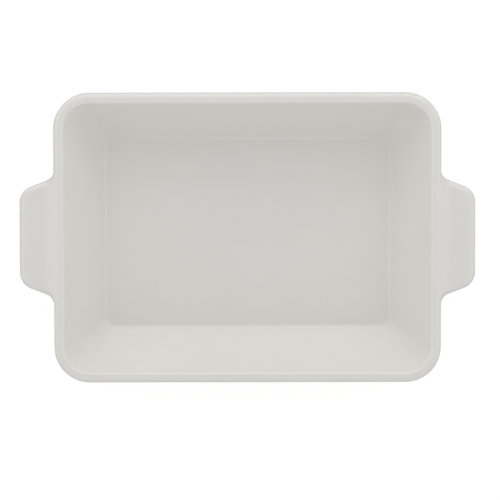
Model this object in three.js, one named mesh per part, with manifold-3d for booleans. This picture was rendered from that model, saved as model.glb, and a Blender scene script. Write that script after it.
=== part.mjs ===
// Porcelain baking dish: a rectangular basin with flared walls and a rounded lip, a lug
// handle luted to each end under the rim, and an unglazed foot ring underneath.
// Millimetres, +Z up. The origin is on the table under the middle of the dish, +X runs
// along its length to the right handle, and +Y across its width.

import * as THREE from "three";
import { mergeVertices } from "three/addons/utils/BufferGeometryUtils.js";
import Module from "manifold-3d";

// Basin
const RIM_LENGTH = 305.5; // over the lip, without the handles
const RIM_WIDTH = 229; // over the lip
const RIM_CORNER = 28; // plan radius of the lip's corners
const RIM_LAND = 7.4; // width of the rim, from the basin's edge to the lip's face
const RIM_EDGE = 2; // small round between the rim and the basin
const RIM_SHOULDER = 4; // large round between the rim and the lip's face
const BASIN_DEPTH = 54; // rim to floor
const WALL_RUN = 31.5; // how far the wall leans out between the floor and the rim
const WALL_THICKNESS = 6; // square to the sloping wall
const FLOOR_THICKNESS = 6;
const FLOOR_CORNER = 12; // plan radius of the floor's corners
const FLOOR_FILLET = 5; // round between the floor and the wall
const LIP_DROP = 16; // height of the lip's face
const LIP_EDGE = 3; // round along the lip's lower edge
const LIP_COVE = 4; // hollow round where the lip's underside meets the wall
const BASE_ROUND = 8; // round between the outer wall and the base

// Foot ring
const FOOT_HEIGHT = 3;
const FOOT_WIDTH = 6;
const FOOT_SETBACK = 6; // base corner to the foot's outer side
const FOOT_EDGE = 1.2; // round along the foot's two lower edges

// Handles
const HANDLE_REACH = 27.25; // past the lip's face
const HANDLE_ROOT = 95; // width at the lip's face, before its fillets
const HANDLE_TIP = 74; // width at the tip, before its corners are rounded
const HANDLE_TIP_CORNER = 13.5; // plan radius of the tip's corners
const HANDLE_ROOT_FILLET = 9; // plan radius where a handle's sides meet the lip
const HANDLE_DROP = 6; // rim to the handle's top
const HANDLE_THICKNESS = 12;
const HANDLE_EDGE = 4.5; // round along the handle's edges
const HANDLE_RISE = 38; // degrees, the slope on which a handle's top runs up to the rim's shoulder
const HANDLE_COVE = 8; // hollow round at the foot of that slope, and under the handle at the wall
const LUTING_GAP = 0.3; // joint between a handle and the dish, filled with slip

// Fineness of the curves
const CORNER_STEPS = 10; // along a quarter turn of a plan corner
const ROUND_STEPS = 5; // along a round or a fillet
const SAME_STATION = 0.05; // handle sections closer than this are one section

// Levels and slopes that follow from the sizes above
const floorLevel = FOOT_HEIGHT + FLOOR_THICKNESS;
const rimLevel = floorLevel + BASIN_DEPTH;
const lipLevel = rimLevel - LIP_DROP;
const wallSlope = WALL_RUN / BASIN_DEPTH;
const wallAcross = WALL_THICKNESS * Math.hypot(1, wallSlope);
const floorInset = RIM_LAND + WALL_RUN;
const handleTop = rimLevel - HANDLE_DROP;
const handleBottom = handleTop - HANDLE_THICKNESS;

// Inset of the wall's outer face from the lip's face, at a height.
function outerInset(level) {
  return RIM_LAND + (rimLevel - level) * wallSlope - wallAcross;
}

// A chain of straight runs with rounded corners. Each corner is [x, y, radius], and a
// radius is limited to what half of its shorter run can hold.
function roundedChain(corners) {
  const points = corners.map(([x, y]) => new THREE.Vector2(x, y));
  return corners.flatMap(([, , radius = 0], i) => {
    const here = points[i];
    if (radius === 0) return [here];
    const before = points[i - 1].clone().sub(here);
    const after = points[i + 1].clone().sub(here);
    const room = Math.min(
      i > 1 ? before.length() / 2 : before.length(),
      i < corners.length - 2 ? after.length() / 2 : after.length(),
    );
    before.normalize();
    after.normalize();
    const half = Math.acos(before.dot(after)) / 2;
    const tangent = Math.min(radius / Math.tan(half), room);
    const start = before.multiplyScalar(tangent);
    const end = after.multiplyScalar(tangent);
    const centre = start.clone().add(end).multiplyScalar(0.5 / Math.cos(half) ** 2);
    const from = start.clone().sub(centre);
    const sweep = (Math.PI - 2 * half) * Math.sign(start.clone().sub(centre).cross(end.clone().sub(centre)));
    return Array.from({ length: ROUND_STEPS + 1 }, (_, step) =>
      from
        .clone()
        .rotateAround(new THREE.Vector2(), (sweep * step) / ROUND_STEPS)
        .add(centre)
        .add(here),
    );
  });
}

// A chain moved sideways, to the left of the way it runs.
function movedAside(chain, distance) {
  return chain.map((point, i) => {
    const ahead = chain[Math.min(i + 1, chain.length - 1)];
    const behind = chain[Math.max(i - 1, 0)];
    const along = ahead.clone().sub(behind).normalize();
    return new THREE.Vector2(point.x - along.y * distance, point.y + along.x * distance);
  });
}

// Plan radius of a corner at an inset: the rim's corners share one centre, and from the
// basin's edge inwards they tighten evenly to the floor's.
function cornerRadius(inset) {
  const basinCorner = RIM_CORNER - RIM_LAND;
  if (inset <= RIM_LAND) return RIM_CORNER - inset;
  return THREE.MathUtils.lerp(basinCorner, FLOOR_CORNER, (inset - RIM_LAND) / WALL_RUN);
}

// The dish's plan outline at an inset from the lip's face, as a ring of points at a height.
function planRing(inset, level) {
  const radius = cornerRadius(inset);
  const centreX = RIM_LENGTH / 2 - inset - radius;
  const centreY = RIM_WIDTH / 2 - inset - radius;
  const signs = [[1, 1], [-1, 1], [-1, -1], [1, -1]];
  return signs.flatMap(([sideX, sideY], quarter) =>
    Array.from({ length: CORNER_STEPS + 1 }, (_, step) => {
      const turn = ((quarter + step / CORNER_STEPS) * Math.PI) / 2;
      return new THREE.Vector3(
        sideX * centreX + radius * Math.cos(turn),
        sideY * centreY + radius * Math.sin(turn),
        level,
      );
    }),
  );
}

// A closed surface through rings of equally many points. An open run gets flat ends, fanned
// round their middles, and a looped one returns to its first ring.
function loft(rings, looped = false) {
  const count = rings[0].length;
  const points = rings.flat();
  const faces = [];
  const spans = looped ? rings.length : rings.length - 1;
  for (let i = 0; i < spans; i++) {
    const low = i * count;
    const high = ((i + 1) % rings.length) * count;
    for (let j = 0; j < count; j++) {
      const next = (j + 1) % count;
      faces.push(low + j, low + next, high + next, low + j, high + next, high + j);
    }
  }
  if (!looped) {
    [0, rings.length - 1].forEach((i) => {
      const middle = rings[i].reduce((sum, p) => sum.add(p), new THREE.Vector3()).divideScalar(count);
      points.push(middle);
      for (let j = 0; j < count; j++) {
        const edge = [i * count + j, i * count + ((j + 1) % count)];
        faces.push(points.length - 1, ...(i === 0 ? edge.reverse() : edge));
      }
    });
  }
  return new THREE.BufferGeometry().setFromPoints(points).setIndex(faces);
}

// The dish's outside, from the base up the wall and over the lip to the basin's edge.
function outerChain() {
  const baseInset = outerInset(FOOT_HEIGHT);
  return [
    [baseInset + FOOT_SETBACK + FOOT_WIDTH, FOOT_HEIGHT],
    [baseInset, FOOT_HEIGHT, BASE_ROUND],
    [outerInset(lipLevel), lipLevel, LIP_COVE],
    [0, lipLevel, LIP_EDGE],
    [0, rimLevel, RIM_SHOULDER],
    [RIM_LAND, rimLevel, RIM_EDGE],
  ];
}

// Basin with its lip, in one shell from the base's underside to the floor
function dishGeometry() {
  const inside = [
    [floorInset, floorLevel, FLOOR_FILLET],
    [floorInset + FLOOR_FILLET * 2, floorLevel],
  ];
  const chain = roundedChain([...outerChain(), ...inside]);
  return loft(chain.map((p) => planRing(p.x, p.y)));
}

// Foot ring: a low band with rounded lower edges, flat against the base
function footGeometry() {
  const outer = outerInset(FOOT_HEIGHT) + FOOT_SETBACK;
  const inner = outer + FOOT_WIDTH;
  const chain = roundedChain([
    [inner, FOOT_HEIGHT],
    [inner, 0, FOOT_EDGE],
    [outer, 0, FOOT_EDGE],
    [outer, FOOT_HEIGHT],
  ]);
  return loft(chain.map((p) => planRing(p.x, p.y)), true);
}

// Value of a chain that runs one way along x, at x.
function valueAt(chain, x) {
  const last = chain.length - 1;
  if (x <= chain[0].x) return chain[0].y;
  if (x >= chain[last].x) return chain[last].y;
  const i = chain.findIndex((p) => p.x >= x);
  const share = (x - chain[i - 1].x) / (chain[i].x - chain[i - 1].x);
  return THREE.MathUtils.lerp(chain[i - 1].y, chain[i].y, share);
}

// One section across a handle: a rounded rectangle, as a ring of points at a reach.
function handleSection(reach, halfWidth, top, bottom) {
  const radius = Math.min(HANDLE_EDGE, (top - bottom) / 2, halfWidth);
  const signs = [[1, 1], [-1, 1], [-1, -1], [1, -1]];
  return signs.flatMap(([sideY, sideZ], quarter) =>
    Array.from({ length: ROUND_STEPS + 1 }, (_, step) => {
      const turn = ((quarter + step / ROUND_STEPS) * Math.PI) / 2;
      const centreZ = sideZ > 0 ? top - radius : bottom + radius;
      return new THREE.Vector3(
        RIM_LENGTH / 2 + reach,
        sideY * (halfWidth - radius) + radius * Math.cos(turn),
        centreZ + radius * Math.sin(turn),
      );
    }),
  );
}

// Lug handle before it is cut to the dish: sections lofted from inside the wall to the tip,
// whose width, top and underside each follow a chain and flare into the rim, lip and wall
function handleBlank() {
  const middle = (handleTop + handleBottom) / 2;
  const wallReach = -outerInset(handleBottom);
  const buried = wallReach - wallAcross / 2;
  const flare = 2 * Math.max(HANDLE_COVE, HANDLE_ROOT_FILLET);
  const width = roundedChain([
    [0, HANDLE_ROOT / 2 + flare],
    [0, HANDLE_ROOT / 2, HANDLE_ROOT_FILLET],
    [HANDLE_REACH, HANDLE_TIP / 2, HANDLE_TIP_CORNER],
    [HANDLE_REACH, 0],
  ]).slice(1, -1);
  const rise = THREE.MathUtils.degToRad(HANDLE_RISE);
  const shoulderReach = RIM_SHOULDER * (Math.sin(rise) - 1);
  const shoulderLevel = rimLevel - RIM_SHOULDER * (1 - Math.cos(rise));
  const top = roundedChain([
    [shoulderReach, shoulderLevel],
    [shoulderReach + (shoulderLevel - handleTop) / Math.tan(rise), handleTop, HANDLE_COVE],
    [HANDLE_REACH, handleTop, HANDLE_EDGE],
    [HANDLE_REACH, middle],
  ]).slice(0, -1);
  const underside = roundedChain([
    [wallReach - flare * wallSlope, handleBottom - flare],
    [wallReach, handleBottom, HANDLE_COVE],
    [HANDLE_REACH, handleBottom, HANDLE_EDGE],
    [HANDLE_REACH, middle],
  ]).slice(1, -1);
  const reaches = [buried, ...[width, top, underside].flat().map((p) => p.x)];
  const stations = reaches
    .sort((a, b) => a - b)
    .filter((reach, i, all) => i === 0 || reach - all[i - 1] > SAME_STATION);
  return loft(
    stations.map((reach) =>
      handleSection(reach, valueAt(width, reach), valueAt(top, reach), valueAt(underside, reach)),
    ),
  );
}

// Solid that a handle is cut to: the dish's outside with the basin filled, grown by the joint
function handleSeat() {
  const chain = movedAside(roundedChain([...outerChain().slice(0, -1), [RIM_LAND, rimLevel]]), LUTING_GAP);
  return loft(chain.map((p) => planRing(p.x, p.y)));
}

// Booleans on closed geometries
const wasm = await Module();
wasm.setup();

function solidOf(geometry) {
  const merged = mergeVertices(geometry);
  return new wasm.Manifold(
    new wasm.Mesh({
      numProp: 3,
      vertProperties: merged.attributes.position.array,
      triVerts: new Uint32Array(merged.index.array),
    }),
  );
}

function geometryOf(solid) {
  const mesh = solid.getMesh();
  return new THREE.BufferGeometry()
    .setAttribute("position", new THREE.BufferAttribute(mesh.vertProperties, 3))
    .setIndex(new THREE.BufferAttribute(mesh.triVerts, 1));
}

// Finishes
const glaze = new THREE.MeshStandardMaterial({ color: 0xdcdad5, roughness: 0.12, metalness: 0 });
const biscuit = new THREE.MeshStandardMaterial({ color: 0xd9d2c4, roughness: 0.85, metalness: 0 });

function piece(name, geometry, material) {
  const mesh = new THREE.Mesh(geometry, material);
  mesh.name = name;
  return mesh;
}

// Assembly
const handleGeometry = geometryOf(solidOf(handleBlank()).subtract(solidOf(handleSeat())));
const rightHandle = piece("right_handle", handleGeometry, glaze);
const leftHandle = piece("left_handle", handleGeometry, glaze);
leftHandle.rotation.z = Math.PI;

const bakingDish = new THREE.Group();
bakingDish.add(
  piece("dish_body", dishGeometry(), glaze),
  piece("foot_ring", footGeometry(), biscuit),
  rightHandle,
  leftHandle,
);

export default bakingDish;
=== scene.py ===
import math

import bmesh
import bpy
import numpy as np
from mathutils import Matrix, Vector


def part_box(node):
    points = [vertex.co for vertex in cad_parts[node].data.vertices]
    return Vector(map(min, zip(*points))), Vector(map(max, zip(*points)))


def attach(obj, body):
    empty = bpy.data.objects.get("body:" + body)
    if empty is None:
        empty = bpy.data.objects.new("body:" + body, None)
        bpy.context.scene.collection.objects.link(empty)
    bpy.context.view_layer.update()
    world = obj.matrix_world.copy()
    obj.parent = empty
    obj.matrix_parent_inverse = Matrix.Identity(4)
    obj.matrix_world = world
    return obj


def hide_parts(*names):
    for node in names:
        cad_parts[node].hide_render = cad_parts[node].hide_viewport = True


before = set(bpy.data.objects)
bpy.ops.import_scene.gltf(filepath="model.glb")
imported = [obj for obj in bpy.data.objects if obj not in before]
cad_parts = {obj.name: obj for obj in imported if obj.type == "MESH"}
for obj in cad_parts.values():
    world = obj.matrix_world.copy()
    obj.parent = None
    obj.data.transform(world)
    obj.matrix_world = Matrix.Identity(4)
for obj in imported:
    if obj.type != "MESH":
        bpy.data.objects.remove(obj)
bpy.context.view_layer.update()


# Dish body: floor, flared walls and lip in one shell of white porcelain, pressed over a mould
# and fettled by hand. A clear glossy glaze covers it, thin and pale along the edges where it
# runs off, and thick in the hollows where it pools.
RIM_CORNER, RIM_LAND, RIM_EDGE, RIM_SHOULDER = 0.028, 0.0074, 0.002, 0.004
WALL_RUN, WALL_THICKNESS = 0.0315, 0.006
FLOOR_THICKNESS, FLOOR_CORNER, FLOOR_FILLET = 0.006, 0.008, 0.003
LIP_DROP, LIP_EDGE, LIP_COVE = 0.016, 0.003, 0.004
BASE_ROUND = 0.008
SHARP_ROUND = 0.002  # glaze runs off an edge, or pools in a hollow, most where it is this tight
SAME_SWEPT_POINT = 0.00001  # swept points closer than this are one point

dish_low, dish_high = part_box("dish_body")
rim_length, rim_width, _ = dish_high - dish_low
base_level, rim_level = dish_low.z, dish_high.z
floor_level = base_level + FLOOR_THICKNESS
lip_level = rim_level - LIP_DROP
floor_inset = RIM_LAND + WALL_RUN
wall_slope = WALL_RUN / (rim_level - floor_level)
wall_across = WALL_THICKNESS * math.hypot(1, wall_slope)


def outer_inset(level):
    """Inset of the wall's outer face from the lip's face, at a height."""
    return RIM_LAND + (rim_level - level) * wall_slope - wall_across


def rounded_path(corners, spacing, arc_steps):
    """Points along straight runs with rounded corners, and how hollow the surface is at each.

    A corner is (x, z, radius). With the clay on the right of the way it runs, a hollow counts
    above 0 in the middle of its round, and an edge below 0: by 1 on a round of SHARP_ROUND, and
    by less on a broader one.
    """
    places = [Vector(corner[:2]) for corner in corners]
    rounds = []
    for i, (_, _, radius) in enumerate(corners):
        here = places[i]
        if radius == 0:
            rounds.append([(here, 0.0)])
            continue
        before = (places[i - 1] - here).normalized()
        after = (places[i + 1] - here).normalized()
        half = before.angle(after) / 2
        tangent = radius / math.tan(half)
        centre = here + (before + after).normalized() * (radius / math.sin(half))
        start = here + before * tangent - centre
        side = 1 if before.cross(after) < 0 else -1
        sweep = side * (math.pi - 2 * half)
        sharpness = min(1, SHARP_ROUND / radius)
        arc = []
        for step in range(arc_steps + 1):
            share = step / arc_steps
            turned = Matrix.Rotation(sweep * share, 2) @ start
            arc.append((centre + turned, side * sharpness * math.sin(math.pi * share)))
        rounds.append(arc)
    path = []
    for arc, following in zip(rounds, rounds[1:]):
        run = following[0][0] - arc[-1][0]
        path += arc
        count = max(1, math.ceil(run.length / spacing))
        path += [(arc[-1][0] + run * step / count, 0.0) for step in range(1, count)]
    return path + rounds[-1]


def add_object(name, data):
    """An object at the origin of the scene."""
    made = bpy.data.objects.new(name, data)
    bpy.context.scene.collection.objects.link(made)
    return made


def profile_object(name, path):
    """A profile as a chain of edges, with inset as x and height as z."""
    points = [(place.x, 0, place.y) for place, _ in path]
    mesh = bpy.data.meshes.new(name)
    mesh.from_pydata(points, [(i, i + 1) for i in range(len(points) - 1)], [])
    hollow = mesh.attributes.new("hollow", "FLOAT", "POINT")
    hollow.data.foreach_set("value", [value for _, value in path])
    return add_object(name, mesh)


def put(tree, kind, *inputs, **settings):
    """A node with its settings and, in order, its inputs: a socket, a plain value or None."""
    made = tree.nodes.new(kind)
    for key, value in settings.items():
        setattr(made, key, value)
    open_sockets = [socket for socket in made.inputs if socket.enabled]
    for socket, value in zip(open_sockets, inputs):
        if isinstance(value, bpy.types.NodeSocket):
            tree.links.new(value, socket)
        elif value is not None:
            socket.default_value = value
    return made


def calc(tree, operation, *inputs):
    """A Math node's result."""
    return put(tree, "ShaderNodeMath", *inputs, operation=operation).outputs[0]


def ramp(tree, value, span, levels, **settings):
    """A value that runs from one level to the other as its source crosses a span."""
    return put(tree, "ShaderNodeMapRange", value, *span, *levels, **settings).outputs[0]


def sweep_tree():
    """Geometry nodes that carry a profile round the dish's plan, a rounded rectangle.

    The corners of the land share one centre. Further in, they tighten evenly to Inner Corner.
    """
    tree = bpy.data.node_groups.new("Carry a profile round the dish", "GeometryNodeTree")
    for name, kind in (
        ("Profile", "NodeSocketGeometry"),
        ("Length", "NodeSocketFloat"),
        ("Width", "NodeSocketFloat"),
        ("Outer Corner", "NodeSocketFloat"),
        ("Land", "NodeSocketFloat"),
        ("Inner Corner", "NodeSocketFloat"),
        ("Inner Run", "NodeSocketFloat"),
        ("Corner Steps", "NodeSocketInt"),
        ("Side Steps", "NodeSocketInt"),
        ("Same Point", "NodeSocketFloat"),
        ("Finish", "NodeSocketMaterial"),
    ):
        tree.interface.new_socket(name, in_out="INPUT", socket_type=kind)
    tree.interface.new_socket("Piece", in_out="OUTPUT", socket_type="NodeSocketGeometry")
    given = tree.nodes.new("NodeGroupInput").outputs

    # One row of the grid for each point of the profile, and one column for each step of the plan
    rows = put(tree, "GeometryNodeAttributeDomainSize", given["Profile"]).outputs["Point Count"]
    quarter_steps = calc(tree, "ADD", given["Corner Steps"], given["Side Steps"])
    columns = calc(tree, "MULTIPLY", quarter_steps, 4.0)
    grid = put(tree, "GeometryNodeMeshGrid", 1.0, 1.0, calc(tree, "ADD", columns, 1.0), rows)
    index = put(tree, "GeometryNodeInputIndex").outputs[0]
    row = calc(tree, "MODULO", index, rows)
    column = calc(tree, "MODULO", calc(tree, "FLOOR", calc(tree, "DIVIDE", index, rows)), columns)

    def of_profile(field, kind):
        """A field's value at the profile's point of this row."""
        settings = {"data_type": kind, "domain": "POINT"}
        return put(tree, "GeometryNodeSampleIndex", given["Profile"], field, row, **settings).outputs[0]

    position = put(tree, "GeometryNodeInputPosition").outputs[0]
    point = put(tree, "ShaderNodeSeparateXYZ", of_profile(position, "FLOAT_VECTOR")).outputs
    hollow = put(tree, "GeometryNodeInputNamedAttribute", "hollow", data_type="FLOAT").outputs[0]

    # A quarter of the plan is a corner, then the side that follows it
    quarter = calc(tree, "FLOOR", calc(tree, "DIVIDE", column, quarter_steps))
    step = calc(tree, "SUBTRACT", column, calc(tree, "MULTIPLY", quarter, quarter_steps))
    arc = calc(tree, "MINIMUM", calc(tree, "DIVIDE", step, given["Corner Steps"]), 1.0)
    past = calc(tree, "MAXIMUM", calc(tree, "SUBTRACT", step, given["Corner Steps"]), 0.0)
    along = calc(tree, "DIVIDE", past, given["Side Steps"])
    turn = calc(tree, "MULTIPLY", calc(tree, "ADD", quarter, arc), math.pi / 2)

    shared = calc(tree, "SUBTRACT", given["Outer Corner"], point["X"])
    inner_end = calc(tree, "ADD", given["Land"], given["Inner Run"])
    land_corner = calc(tree, "SUBTRACT", given["Outer Corner"], given["Land"])
    span, radii = (given["Land"], inner_end), (land_corner, given["Inner Corner"])
    tightening = ramp(tree, point["X"], span, radii, clamp=False)
    corner = calc(tree, "MAXIMUM", calc(tree, "MAXIMUM", shared, tightening), 0.0)
    reach = calc(tree, "ADD", point["X"], corner)

    def corner_side(wave, quarters_on):
        """The side of the plan, -1 or 1 along one axis, of a corner counted on from this quarter."""
        angle = calc(tree, "MULTIPLY", calc(tree, "ADD", quarter, quarters_on + 0.5), math.pi / 2)
        return calc(tree, "MULTIPLY", calc(tree, wave, angle), math.sqrt(2))

    def across(size, wave):
        """Place along one axis: the side's run between two corner centres, plus the corner."""
        half = calc(tree, "SUBTRACT", calc(tree, "MULTIPLY", size, 0.5), reach)
        here, ahead = corner_side(wave, 0), corner_side(wave, 1)
        run = calc(tree, "MULTIPLY", calc(tree, "SUBTRACT", ahead, here), along)
        centre = calc(tree, "MULTIPLY", calc(tree, "ADD", here, run), half)
        return calc(tree, "ADD", centre, calc(tree, "MULTIPLY", corner, calc(tree, wave, turn)))

    x, y = across(given["Length"], "COSINE"), across(given["Width"], "SINE")
    place = put(tree, "ShaderNodeCombineXYZ", x, y, point["Z"]).outputs[0]
    kept = put(
        tree,
        "GeometryNodeStoreNamedAttribute",
        grid.outputs["Mesh"],
        True,
        "hollow",
        of_profile(hollow, "FLOAT"),
        data_type="FLOAT",
        domain="POINT",
    ).outputs[0]
    shaped = put(tree, "GeometryNodeSetPosition", kept, True, place).outputs[0]
    merged = put(tree, "GeometryNodeMergeByDistance", shaped, True, given["Same Point"]).outputs[0]
    smooth = put(tree, "GeometryNodeSetShadeSmooth", merged, True, True).outputs[0]
    real = put(tree, "GeometryNodeRealizeInstances", smooth).outputs[0]
    finished = put(tree, "GeometryNodeSetMaterial", real, True, given["Finish"]).outputs[0]
    put(tree, "NodeGroupOutput", finished)
    return tree


def carried_round(name, path, tree, finish, corner_steps, side_steps):
    """A plain mesh of a profile carried round the dish."""
    profile = profile_object(name, path)
    sweep = profile.modifiers.new("sweep", "NODES")
    sweep.node_group = tree
    sizes = {
        "Length": rim_length,
        "Width": rim_width,
        "Outer Corner": RIM_CORNER,
        "Land": RIM_LAND,
        "Inner Corner": FLOOR_CORNER,
        "Inner Run": WALL_RUN,
        "Corner Steps": corner_steps,
        "Side Steps": side_steps,
        "Same Point": SAME_SWEPT_POINT,
        "Finish": finish,
    }
    for item in tree.interface.items_tree:
        if item.name in sizes:
            sweep[item.identifier] = sizes[item.name]
    evaluated = profile.evaluated_get(bpy.context.evaluated_depsgraph_get())
    mesh = bpy.data.meshes.new_from_object(evaluated)
    profile.modifiers.remove(sweep)
    profile.data = mesh
    return profile


SPECK_FADE = 0.08, 0.26  # from a speck's full colour to none, in sizes of its cell


def firing_group():
    """Shader group of what the kiln leaves: soft mottling, small specks and a fine unevenness."""
    tree = bpy.data.node_groups.new("Kiln marks", "ShaderNodeTree")
    for name in ("Mottle Size", "Speck Size", "Speck Share", "Grain Size"):
        tree.interface.new_socket(name, in_out="INPUT", socket_type="NodeSocketFloat")
    for name in ("Mottle", "Specks", "Grain"):
        tree.interface.new_socket(name, in_out="OUTPUT", socket_type="NodeSocketFloat")
    given = tree.nodes.new("NodeGroupInput").outputs
    place = put(tree, "ShaderNodeTexCoord").outputs["Object"]

    def noise(size, detail, roughness):
        scale = calc(tree, "DIVIDE", 1.0, size)
        return put(tree, "ShaderNodeTexNoise", place, scale, detail, roughness).outputs[0]

    mottle = noise(given["Mottle Size"], detail=3.0, roughness=0.55)
    grain = noise(given["Grain Size"], detail=2.0, roughness=0.5)
    speck_scale = calc(tree, "DIVIDE", 1.0, given["Speck Size"])
    cells = put(tree, "ShaderNodeTexVoronoi", place, speck_scale).outputs
    lot = put(tree, "ShaderNodeSeparateColor", cells["Color"]).outputs[0]
    chosen = calc(tree, "LESS_THAN", lot, given["Speck Share"])
    spot = ramp(tree, cells["Distance"], SPECK_FADE, (1.0, 0.0))
    specks = calc(tree, "MULTIPLY", spot, chosen)
    put(tree, "NodeGroupOutput", mottle, specks, grain)
    return tree


kiln_marks = firing_group()


def fired(tree, mottle_size, speck_size, speck_share, grain_size):
    """The kiln's marks at one surface's own sizes."""
    sizes = mottle_size, speck_size, speck_share, grain_size
    return put(tree, "ShaderNodeGroup", *sizes, node_tree=kiln_marks).outputs


def tint(tree, share, under, over):
    """A colour mixed into another by a share."""
    return put(tree, "ShaderNodeMix", share, under, over, data_type="RGBA").outputs[2]


def raised(tree, strength, depth, height):
    """A normal that follows small heights."""
    bump = put(tree, "ShaderNodeBump", strength, depth)
    tree.links.new(height, bump.inputs["Height"])
    return bump.outputs["Normal"]


PORCELAIN_IOR = 1.5


def porcelain(name):
    """A new porcelain finish, with its node tree and its surface."""
    finish = bpy.data.materials.new(name)
    finish.use_nodes = True
    surface = finish.node_tree.nodes["Principled BSDF"]
    surface.inputs["IOR"].default_value = PORCELAIN_IOR
    return finish, finish.node_tree, surface.inputs


GLAZE_SHADES = (0.776, 0.756, 0.724, 1), (0.804, 0.784, 0.754, 1)
GLAZE_POOLED, POOLED_SPAN, POOLED_SHARES = (0.730, 0.712, 0.684, 1), (0.0, 0.4), (0.0, 0.12)
GLAZE_THIN, THIN_SPAN, THIN_SHARES = (0.856, 0.840, 0.815, 1), (-0.5, -1.0), (0.0, 0.5)
GLAZE_SPECK, GLAZE_SPECK_SHARE, SPECK_PIT = (0.330, 0.270, 0.200, 1), 0.07, 0.25
GLAZE_MOTTLE_SPAN, GLAZE_ROUGHNESS = (0.3, 0.7), (0.10, 0.17)
GLAZE_WAVE_STRENGTH, GLAZE_WAVE_DEPTH = 0.15, 0.00012


def glaze_material():
    """Clear glaze: mottled off-white, greyer in hollows, paler on edges, with a few faint specks."""
    glaze, tree, surface = porcelain("clear_glaze_on_porcelain")
    kiln = fired(tree, mottle_size=0.055, speck_size=0.0042, speck_share=0.012, grain_size=0.03)
    hollow = put(tree, "ShaderNodeAttribute", attribute_name="hollow").outputs["Fac"]
    pooled = ramp(tree, hollow, POOLED_SPAN, POOLED_SHARES)
    thin = ramp(tree, hollow, THIN_SPAN, THIN_SHARES)
    mottled = tint(tree, kiln["Mottle"], *GLAZE_SHADES)
    coated = tint(tree, pooled, mottled, GLAZE_POOLED)
    edged = tint(tree, thin, coated, GLAZE_THIN)
    faint = calc(tree, "MULTIPLY", kiln["Specks"], GLAZE_SPECK_SHARE)
    tree.links.new(tint(tree, faint, edged, GLAZE_SPECK), surface["Base Color"])
    tree.links.new(ramp(tree, kiln["Mottle"], GLAZE_MOTTLE_SPAN, GLAZE_ROUGHNESS), surface["Roughness"])
    pits = calc(tree, "MULTIPLY", kiln["Specks"], SPECK_PIT)
    height = calc(tree, "SUBTRACT", kiln["Grain"], pits)
    tree.links.new(raised(tree, GLAZE_WAVE_STRENGTH, GLAZE_WAVE_DEPTH, height), surface["Normal"])
    return glaze


glaze = glaze_material()
profile_sweep = sweep_tree()
base_inset = outer_inset(base_level)
dish_profile = rounded_path(
    [
        (rim_width / 2, base_level, 0),
        (base_inset, base_level, BASE_ROUND),
        (outer_inset(lip_level), lip_level, LIP_COVE),
        (0, lip_level, LIP_EDGE),
        (0, rim_level, RIM_SHOULDER),
        (RIM_LAND, rim_level, RIM_EDGE),
        (floor_inset, floor_level, FLOOR_FILLET),
        (rim_width / 2, floor_level, 0),
    ],
    spacing=0.003,
    arc_steps=12,
)
dish = carried_round("dish_shell", dish_profile, profile_sweep, glaze, corner_steps=18, side_steps=24)
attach(dish, "root")
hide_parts("dish_body")


# Handles: two solid lugs of the same clay, pressed apart and luted under the rim with slip.
# The joint is sponged to a cove all round and glazed over, so each lug flows into the lip
# above and into the wall below.
HANDLE_ROOT, HANDLE_TIP = 0.095, 0.074
HANDLE_TIP_CORNER, HANDLE_ROOT_FILLET = 0.0135, 0.009
HANDLE_DROP, HANDLE_THICKNESS = 0.006, 0.012
HANDLE_EDGE, HANDLE_COVE = 0.0045, 0.008
HANDLE_RISE = math.radians(38)  # slope on which the top runs up to the rim's shoulder
HANDLE_BURIED = 0.003  # clay left between the buried end and the basin
SECTION_SPACING, SAME_SECTION, SAME_LUG_POINT = 0.0015, 0.00002, 0.000001
SECTION_CORNER_STEPS, SECTION_FACE_STEPS, SECTION_EDGE_STEPS = 10, 30, 3

handle_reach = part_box("right_handle")[1].x - dish_high.x
handle_top = rim_level - HANDLE_DROP
handle_bottom = handle_top - HANDLE_THICKNESS
wall_reach = -outer_inset(handle_bottom)


def handle_chains():
    """Reach, half width or height, and hollowness, along the sides, the top and the underside."""
    flare = 2 * max(HANDLE_COVE, HANDLE_ROOT_FILLET)
    middle = (handle_top + handle_bottom) / 2
    sides = [
        (0, HANDLE_ROOT / 2 + flare, 0),
        (0, HANDLE_ROOT / 2, HANDLE_ROOT_FILLET),
        (handle_reach, HANDLE_TIP / 2, HANDLE_TIP_CORNER),
        (handle_reach, 0, 0),
    ]
    shoulder_reach = RIM_SHOULDER * (math.sin(HANDLE_RISE) - 1)
    shoulder_level = rim_level - RIM_SHOULDER * (1 - math.cos(HANDLE_RISE))
    rise_foot = shoulder_reach + (shoulder_level - handle_top) / math.tan(HANDLE_RISE)
    top = [
        (shoulder_reach, shoulder_level, 0),
        (rise_foot, handle_top, HANDLE_COVE),
        (handle_reach, handle_top, HANDLE_EDGE),
        (handle_reach, middle, 0),
    ]
    underside = [
        (wall_reach - flare * wall_slope, handle_bottom - flare, 0),
        (wall_reach, handle_bottom, HANDLE_COVE),
        (handle_reach, handle_bottom, HANDLE_EDGE),
        (handle_reach, middle, 0),
    ]
    for corners, first, clay_side in ((sides, 1, 1), (top, 0, 1), (underside, 1, -1)):
        path = rounded_path(corners, spacing=1, arc_steps=16)[first:-1]
        yield np.array([(place.x, place.y, clay_side * hollow) for place, hollow in path])


def at_reach(chain, reach):
    """Half width or height, and hollowness, where a chain passes a reach."""
    return [np.interp(reach, chain[:, 0], column) for column in chain.T[1:]]


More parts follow.
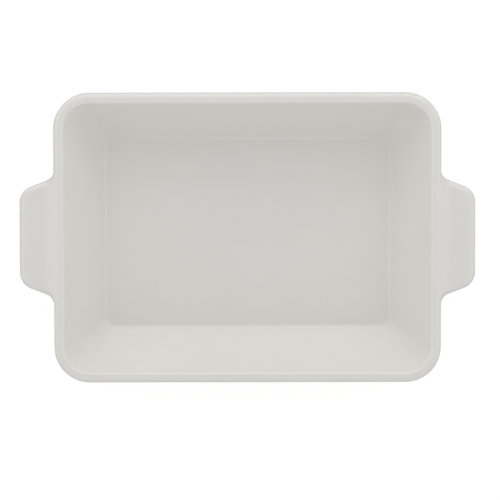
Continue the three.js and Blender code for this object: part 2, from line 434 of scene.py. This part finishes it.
def section_points():
    """Turn of each point round a rounded section, and its corner's side in width and in height.

    A side is -1 or 1 on a corner, and goes over from one to the other along a flat stretch.
    """
    turns, shares, corners = [], [], []
    for quarter in range(4):
        steps = np.arange(SECTION_CORNER_STEPS + 1)
        turns += list((quarter + steps / SECTION_CORNER_STEPS) * math.pi / 2)
        shares += [0.0] * len(steps)
        flat_steps = SECTION_FACE_STEPS if quarter % 2 == 0 else SECTION_EDGE_STEPS
        turns += [(quarter + 1) * math.pi / 2] * (flat_steps - 1)
        shares += [step / flat_steps for step in range(1, flat_steps)]
        corners += [quarter] * (SECTION_CORNER_STEPS + flat_steps)
    corners, shares = np.array(corners), np.array(shares)
    corner_sides = np.array([(1, 1), (-1, 1), (-1, -1), (1, -1), (1, 1)])
    here, ahead = corner_sides[corners], corner_sides[corners + 1]
    wide, high = (here + (ahead - here) * shares[:, None]).T
    return np.array(turns), wide, high


def handle_object(name, turned):
    """A lug lofted through rounded sections, from inside the wall out to the tip."""
    sides, top, underside = handle_chains()
    even = np.arange(wall_reach - wall_across / 2, handle_reach, SECTION_SPACING)
    marks = np.sort(np.concatenate([sides[:, 0], top[:, 0], underside[:, 0], even]))
    stations = marks[np.concatenate([[True], np.diff(marks) > SAME_SECTION])]
    stations[-1] = handle_reach
    turns, wide, high = section_points()
    sideways = np.cos(turns) ** 2
    upward, downward = np.maximum(np.sin(turns), 0) ** 2, np.maximum(-np.sin(turns), 0) ** 2
    edge = min(1, SHARP_ROUND / HANDLE_EDGE) * np.abs(np.sin(2 * turns))
    points, hollows = [], []
    for reach in stations:
        half_width, side_hollow = at_reach(sides, reach)
        upper, upper_hollow = at_reach(top, reach)
        lower, lower_hollow = at_reach(underside, reach)
        if reach < 0:
            upper = min(upper, rim_level + (reach + RIM_LAND) / wall_slope - HANDLE_BURIED)
        half_height = (upper - lower) / 2
        radius = min(HANDLE_EDGE, half_height, half_width)
        x = np.full_like(turns, rim_length / 2 + reach)
        y = wide * (half_width - radius) + radius * np.cos(turns)
        z = lower + half_height + high * (half_height - radius) + radius * np.sin(turns)
        points.append(np.stack([x * turned, y * turned, z], axis=1))
        value = sideways * side_hollow + upward * upper_hollow + downward * lower_hollow
        value -= edge * np.clip(reach / HANDLE_COVE - 1, 0, 1)
        hollows.append(np.clip(value, -1, 1))
    count, last = len(turns), len(stations) - 1
    faces = [tuple(reversed(range(count)))]
    for ring in range(last):
        start, end = ring * count, (ring + 1) * count
        pairs = [(j, (j + 1) % count) for j in range(count)]
        faces += [(start + j, start + k, end + k, end + j) for j, k in pairs]
    faces.append(tuple(range(last * count, (last + 1) * count)))
    mesh = bpy.data.meshes.new(name)
    mesh.from_pydata(np.concatenate(points).tolist(), [], faces)
    mesh.attributes.new("hollow", "FLOAT", "POINT").data.foreach_set("value", np.concatenate(hollows))
    merged = bmesh.new()
    merged.from_mesh(mesh)
    bmesh.ops.remove_doubles(merged, verts=merged.verts, dist=SAME_LUG_POINT)
    merged.to_mesh(mesh)
    merged.free()
    mesh.polygons.foreach_set("use_smooth", [True] * len(mesh.polygons))
    mesh.materials.append(glaze)
    return add_object(name, mesh)


for side, turned in (("right", 1), ("left", -1)):
    lug = handle_object(f"{side}_lug", turned)
    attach(lug, "root")
    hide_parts(f"{side}_handle")


# Foot ring: the low band under the base that the dish is fired and stands on. It is the same
# porcelain, wiped free of glaze before the kiln and ground level after it, so it stays bare,
# dull and a little scuffed, with a toasted line where the glaze ends.
FOOT_WIDTH, FOOT_SETBACK, FOOT_EDGE = 0.006, 0.006, 0.0012
BISCUIT_SHADES = (0.590, 0.545, 0.470, 1), (0.690, 0.645, 0.570, 1)
BISCUIT_SPECK, BISCUIT_SPECK_SHARE = (0.220, 0.165, 0.110, 1), 0.45
TOASTED, TOASTED_SPAN, TOASTED_SHARES = (0.560, 0.440, 0.310, 1), (0.0012, 0.0022), (0.0, 0.6)
SCUFFED, SCUFFED_SPAN, SCUFFED_SHARES = (0.380, 0.360, 0.330, 1), (0.0, 0.0004), (0.45, 0.0)
FOOT_GLAZE, GLAZE_LINE, GLAZE_LINE_WANDER = (0.660, 0.640, 0.600, 1), (0.0021, 0.0024), 0.0012
FOOT_ROUGHNESS = 0.86, 0.14  # bare, and past the line where the glaze starts
BISCUIT_GRAIN_STRENGTH, BISCUIT_GRAIN_DEPTH = 0.5, 0.00005


def biscuit_material():
    """Bare porcelain: mottled and specked, toasted up to the glaze line and scuffed where it stands."""
    biscuit, tree, surface = porcelain("bare_biscuit_porcelain")
    kiln = fired(tree, mottle_size=0.018, speck_size=0.0016, speck_share=0.06, grain_size=0.0004)
    place = put(tree, "ShaderNodeTexCoord").outputs["Object"]
    height = put(tree, "ShaderNodeSeparateXYZ", place).outputs["Z"]
    uneven = calc(tree, "SUBTRACT", kiln["Mottle"], 0.5)
    level = calc(tree, "ADD", height, calc(tree, "MULTIPLY", uneven, GLAZE_LINE_WANDER))
    glazed = ramp(tree, level, GLAZE_LINE, (0.0, 1.0))
    toasted = ramp(tree, level, TOASTED_SPAN, TOASTED_SHARES)
    scuffed = ramp(tree, height, SCUFFED_SPAN, SCUFFED_SHARES)
    mottled = tint(tree, kiln["Mottle"], *BISCUIT_SHADES)
    warmed = tint(tree, toasted, mottled, TOASTED)
    marked = tint(tree, calc(tree, "MULTIPLY", kiln["Specks"], BISCUIT_SPECK_SHARE), warmed, BISCUIT_SPECK)
    rubbed = tint(tree, calc(tree, "MULTIPLY", scuffed, kiln["Mottle"]), marked, SCUFFED)
    tree.links.new(tint(tree, glazed, rubbed, FOOT_GLAZE), surface["Base Color"])
    tree.links.new(ramp(tree, glazed, (0.0, 1.0), FOOT_ROUGHNESS), surface["Roughness"])
    grain = raised(tree, BISCUIT_GRAIN_STRENGTH, BISCUIT_GRAIN_DEPTH, kiln["Grain"])
    tree.links.new(grain, surface["Normal"])
    return biscuit


biscuit = biscuit_material()
foot_outer = base_inset + FOOT_SETBACK
foot_inner = foot_outer + FOOT_WIDTH
foot_profile = rounded_path(
    [
        (foot_inner, base_level, 0),
        (foot_inner, 0, FOOT_EDGE),
        (foot_outer, 0, FOOT_EDGE),
        (foot_outer, base_level, 0),
        (foot_inner, base_level, 0),
    ],
    spacing=0.0008,
    arc_steps=8,
)
foot = carried_round("bare_foot", foot_profile, profile_sweep, biscuit, corner_steps=12, side_steps=30)
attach(foot, "root")
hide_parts("foot_ring")


# Stage: a white table that runs out to a white room. The table keeps the dish's soft shadow, and
# in reflections it is a glow with a painted shadow of the dish, dimmer close to the dish.
# In reflections the room darkens to its ceiling.
# Softboxes stand round the dish, and the highest one doesn't show in reflections.
WHITE, TABLE_GREY, SHADOW_GREY = (1, 1, 1, 1), (0.8, 0.8, 0.8, 1), (0.3, 0.3, 0.3, 1)
TABLE_HALF, TABLE_LEVEL = 6, -0.0002
TABLE_MIRRORED_SPAN, TABLE_MIRRORED_SHADOW_LEVELS = (0.2, 0.6), (0.6, 1.0)
TABLE_SHOWN_SPAN, TABLE_SHOWN_LEVELS = (0.35, 1.2), (0.82, 1.0)
ROOM_FILL_LEVELS = 0.60, 0.0  # light from the horizon, and from straight above
CEILING_SPAN, CEILING_LEVELS = (0.5, 1.0), (1.0, 0.3)
SOFTBOX_DISTANCE = 1.7


def sightlines(tree):
    """Whether a surface is seen by the camera, and whether in a reflection or through glass."""
    ray = put(tree, "ShaderNodeLightPath").outputs
    mirrored = calc(tree, "MAXIMUM", ray["Is Glossy Ray"], ray["Is Transmission Ray"])
    return ray["Is Camera Ray"], mirrored


def table_material():
    """White table: a soft grey under the lamps, with a glow that grows away from the dish. In reflections
    it is a plain glow with a painted shadow, dimmer close to the dish.
    """
    white_table = bpy.data.materials.new("white_table")
    white_table.use_nodes = True
    tree = white_table.node_tree
    tree.nodes.remove(tree.nodes["Principled BSDF"])
    in_view, mirrored = sightlines(tree)
    place = put(tree, "ShaderNodeTexCoord").outputs["Object"]
    away = put(tree, "ShaderNodeVectorMath", place, operation="LENGTH").outputs["Value"]
    lit = put(tree, "ShaderNodeBsdfDiffuse", TABLE_GREY).outputs[0]
    # Painted shadow: in reflections the table is a glow that is dimmer close to the dish, where the dish
    # would shade it.
    reflected_painted_shadow_level = ramp(tree, away, TABLE_MIRRORED_SPAN, TABLE_MIRRORED_SHADOW_LEVELS)
    painted_shadow_glow = put(tree, "ShaderNodeEmission", WHITE, reflected_painted_shadow_level).outputs[0]
    unseen = put(tree, "ShaderNodeMixShader", mirrored, lit, painted_shadow_glow).outputs[0]
    shadowed = put(tree, "ShaderNodeBsdfDiffuse", SHADOW_GREY).outputs[0]
    shown_level = ramp(tree, away, TABLE_SHOWN_SPAN, TABLE_SHOWN_LEVELS)
    shown_white = put(tree, "ShaderNodeEmission", WHITE, shown_level).outputs[0]
    shown = put(tree, "ShaderNodeAddShader", shadowed, shown_white).outputs[0]
    surface = put(tree, "ShaderNodeMixShader", in_view, unseen, shown).outputs[0]
    tree.links.new(surface, tree.nodes["Material Output"].inputs["Surface"])
    return white_table


def white_room():
    """White room: white to the camera, darker to its ceiling in reflections, and a faint fill light."""
    room = bpy.data.worlds.new("white_room")
    room.use_nodes = True
    tree = room.node_tree
    in_view, mirrored = sightlines(tree)
    direction = put(tree, "ShaderNodeTexCoord").outputs["Generated"]
    upward = put(tree, "ShaderNodeSeparateXYZ", direction).outputs["Z"]
    fill_level = ramp(tree, upward, (0.0, 1.0), ROOM_FILL_LEVELS)
    fill = put(tree, "ShaderNodeBackground", WHITE, fill_level).outputs[0]
    seen_level = calc(tree, "MAXIMUM", ramp(tree, upward, CEILING_SPAN, CEILING_LEVELS), in_view)
    seen_white = put(tree, "ShaderNodeBackground", WHITE, seen_level).outputs[0]
    seen = calc(tree, "MAXIMUM", in_view, mirrored)
    surround = put(tree, "ShaderNodeMixShader", seen, fill, seen_white).outputs[0]
    tree.links.new(surround, tree.nodes["World Output"].inputs["Surface"])
    return room


table_mesh = bpy.data.meshes.new("table")
table_sides = (-1, -1), (1, -1), (1, 1), (-1, 1)
table_corners = [(TABLE_HALF * x, TABLE_HALF * y, TABLE_LEVEL) for x, y in table_sides]
table_mesh.from_pydata(table_corners, [], [(0, 1, 2, 3)])
table_mesh.materials.append(table_material())
table = add_object("table", table_mesh)
bpy.context.scene.world = white_room()

for name, bearing, elevation, size, power, in_reflections in (
    ("far_softbox", 90, 27, (2.4, 0.7), 7.5, True),
    ("upper_far_softbox", 90, 58, (1.8, 1.4), 8.75, False),
    ("right_softbox", 0, 18, (1.8, 0.4), 1.9, True),
    ("left_softbox", 180, 18, (1.8, 0.4), 1.9, True),
    ("upper_right_softbox", 0, 52, (1.8, 1.4), 4.8, True),
    ("upper_left_softbox", 180, 52, (1.8, 1.4), 4.8, True),
    ("near_softbox", 270, 40, (2.4, 1.2), 7.5, True),
):
    softbox = bpy.data.lights.new(name, "AREA")
    softbox.shape = "RECTANGLE"
    softbox.size, softbox.size_y = size
    softbox.energy = power
    turn, rise = math.radians(bearing), math.radians(elevation)
    out = SOFTBOX_DISTANCE * math.cos(rise)
    place = Vector((out * math.cos(turn), out * math.sin(turn), SOFTBOX_DISTANCE * math.sin(rise)))
    stand = add_object(name, softbox)
    stand.location = place
    stand.rotation_euler = place.to_track_quat("Z", "Y").to_euler()
    stand.visible_camera = False
    stand.visible_glossy = in_reflections


# Camera: almost straight above the dish, from a good distance, leaning a little to the far side.
# It aims at a height between the floor and the rim, just on the near side of the dish's middle.
CAMERA_LEAN, CAMERA_ROLL, CAMERA_DISTANCE = math.radians(5.57), math.radians(-0.10), 3.0
CAMERA_AIM = Vector((0.00200, -0.01128, 0.040))
CAMERA_LENS, CAMERA_SENSOR = 272.05, 36
CAMERA_SIGHT = 50  # metres to the furthest thing it shows
camera_data = bpy.data.cameras.new("camera")
camera_data.lens = CAMERA_LENS
camera_data.sensor_width = CAMERA_SENSOR
camera_data.clip_end = CAMERA_SIGHT
camera = add_object("camera", camera_data)
lean = Matrix.Rotation(-CAMERA_LEAN, 4, "X") @ Matrix.Rotation(CAMERA_ROLL, 4, "Z")
back = lean @ Vector((0, 0, CAMERA_DISTANCE))
camera.matrix_world = Matrix.Translation(CAMERA_AIM + back) @ lean
bpy.context.scene.camera = camera
bpy.context.scene.view_settings.view_transform = "Standard"
